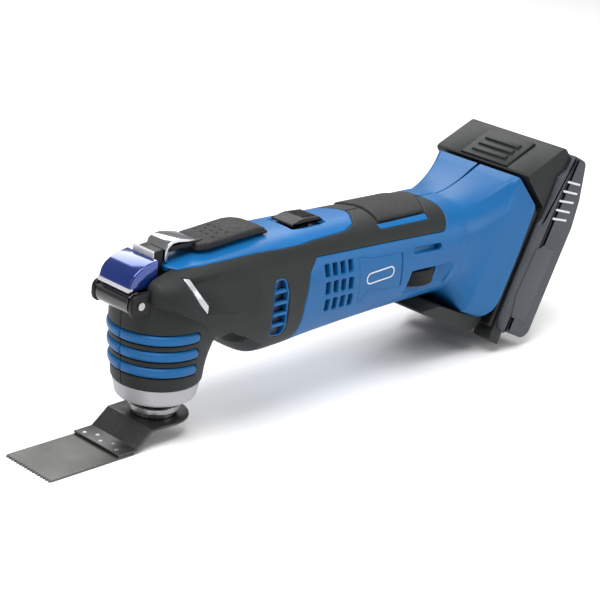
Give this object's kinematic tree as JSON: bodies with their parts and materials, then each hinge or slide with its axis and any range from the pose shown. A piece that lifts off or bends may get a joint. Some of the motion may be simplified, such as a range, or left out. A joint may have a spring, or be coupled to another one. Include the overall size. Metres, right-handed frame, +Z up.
{
  "type": "oscillating multi tool",
  "caption": "Cordless oscillating multi tool with a flat cutting blade, quick-release lever, slide switch, speed wheel and a slide-on battery pack.",
  "frame": {"origin": "middle of the footprint, on the plane that the blade and the pack's feet stand on", "axes": "+X rearwards from the blade to the battery pack, +Z up along the output spindle, -Y the side with the speed wheel"},
  "size_m": [0.3681, 0.073, 0.1156],
  "materials": {
    "blue_shell": "fine moulded texture, mid blue",
    "blue_gloss": "deep blue, polished",
    "rubber_skin": "soft dark rubber, very fine grain",
    "black_plastic": "black moulded",
    "grey_plastic": "dark blue-grey moulded, speckled",
    "silver_ring": "satin silver",
    "steel": "machined",
    "dark_steel": "dark oxide, ground",
    "chromed_steel": "bright",
    "aluminium": "die cast",
    "copper": "copper",
    "brass": "plated contact",
    "board": "green circuit board",
    "cell": "sleeved cell",
    "magnet": "ferrite and laminations"
  },
  "bodies": {
    "tool": {"brush_left": "magnet", "brush_right": "magnet", "control_board": "board", "foot_bumper": "rubber_skin", "gearbox_housing": "aluminium", "grip_pad": "rubber_skin", "heat_sink": "aluminium", "hinge_pin": "steel", "housing_left": "blue_shell", "housing_right": "blue_shell", "housing_screw_1": "steel", "housing_screw_2": "steel", "housing_screw_3": "steel", "housing_screw_4": "steel", "housing_screw_5": "steel", "magnet_lower": "magnet", "magnet_upper": "magnet", "motor_bearing_front": "steel", "motor_bearing_rear": "steel", "motor_can": "steel", "motor_end_cap": "black_plastic", "nose_ring": "silver_ring", "rubber_skin_left": "rubber_skin", "rubber_skin_right": "rubber_skin", "speed_potentiometer": "board", "spindle_bearing_lower": "steel", "spindle_bearing_upper": "steel", "switch_module": "black_plastic", "terminal_block": "brass", "top_strip": "blue_shell"},
    "spindle": {"output_spindle": "steel", "output_flange": "steel", "swing_arm": "steel", "blade_arm": "dark_steel", "blade_plate": "dark_steel"},
    "clamp": {"clamp_bolt": "steel", "clamp_spring_collar": "steel"},
    "rotor": {"motor_shaft": "steel", "armature_core": "magnet", "armature_winding": "copper", "commutator": "copper", "cooling_fan": "black_plastic", "eccentric_bearing": "steel"},
    "lever": {"lever_barrel": "chromed_steel", "lever_hood": "blue_gloss", "lever_neck": "black_plastic", "lever_arch": "chromed_steel", "lever_bar": "black_plastic", "lever_paddle": "rubber_skin"},
    "switch": {"slide_switch": "black_plastic"},
    "dial": {"speed_wheel": "black_plastic"},
    "battery": {"battery_case_rear": "grey_plastic", "battery_case_front": "black_plastic", "battery_cell_1": "cell", "battery_cell_2": "cell", "battery_cell_3": "cell", "battery_cell_4": "cell", "battery_cell_5": "cell"},
    "button": {"battery_button": "black_plastic"},
    "latch": {"battery_latch": "black_plastic"}
  },
  "joints": [
    {"name": "spindle_swing", "type": "hinge", "parent": "tool", "child": "spindle", "pos_m": [-0.10574, 0, 0.046], "axis": [0, 0, 1], "range_deg": [-1.6, 1.6]},
    {"name": "clamp_drop", "type": "slide", "parent": "spindle", "child": "clamp", "axis": [0, 0, -1], "range_m": [0, 0.003]},
    {"name": "rotor_spin", "type": "hinge", "parent": "tool", "child": "rotor", "pos_m": [-0.03574, 0, 0.0665], "axis": [1, 0, 0], "continuous": true},
    {"name": "lever_swing", "type": "hinge", "parent": "tool", "child": "lever", "pos_m": [-0.13224, 0, 0.0768], "axis": [0, -1, 0], "range_deg": [0, 110]},
    {"name": "switch_slide", "type": "slide", "parent": "tool", "child": "switch", "axis": [-1, 0, 0], "range_m": [0, 0.006]},
    {"name": "dial_turn", "type": "hinge", "parent": "tool", "child": "dial", "pos_m": [0.05776, -0.0152, 0.0578], "axis": [0, 0, 1], "range_deg": [0, 270]},
    {"name": "battery_slide", "type": "slide", "parent": "tool", "child": "battery", "axis": [0.4286, 0, 0.9035], "range_m": [0, 0.088]},
    {"name": "button_press", "type": "slide", "parent": "battery", "child": "button", "axis": [0.3729, 0, -0.9279], "range_m": [0, 0.003], "stiffness_N_per_m": 400, "springref_m": -0.003},
    {"name": "latch_retract", "type": "slide", "parent": "battery", "child": "latch", "axis": [0.9035, 0, -0.4286], "range_m": [0, 0.0045]}
  ],
  "couplings": [
    {"joint": "clamp_drop", "follows": "lever_swing", "m_per_rad": 0.00156},
    {"joint": "latch_retract", "follows": "button_press", "ratio": 1.5}
  ]
}
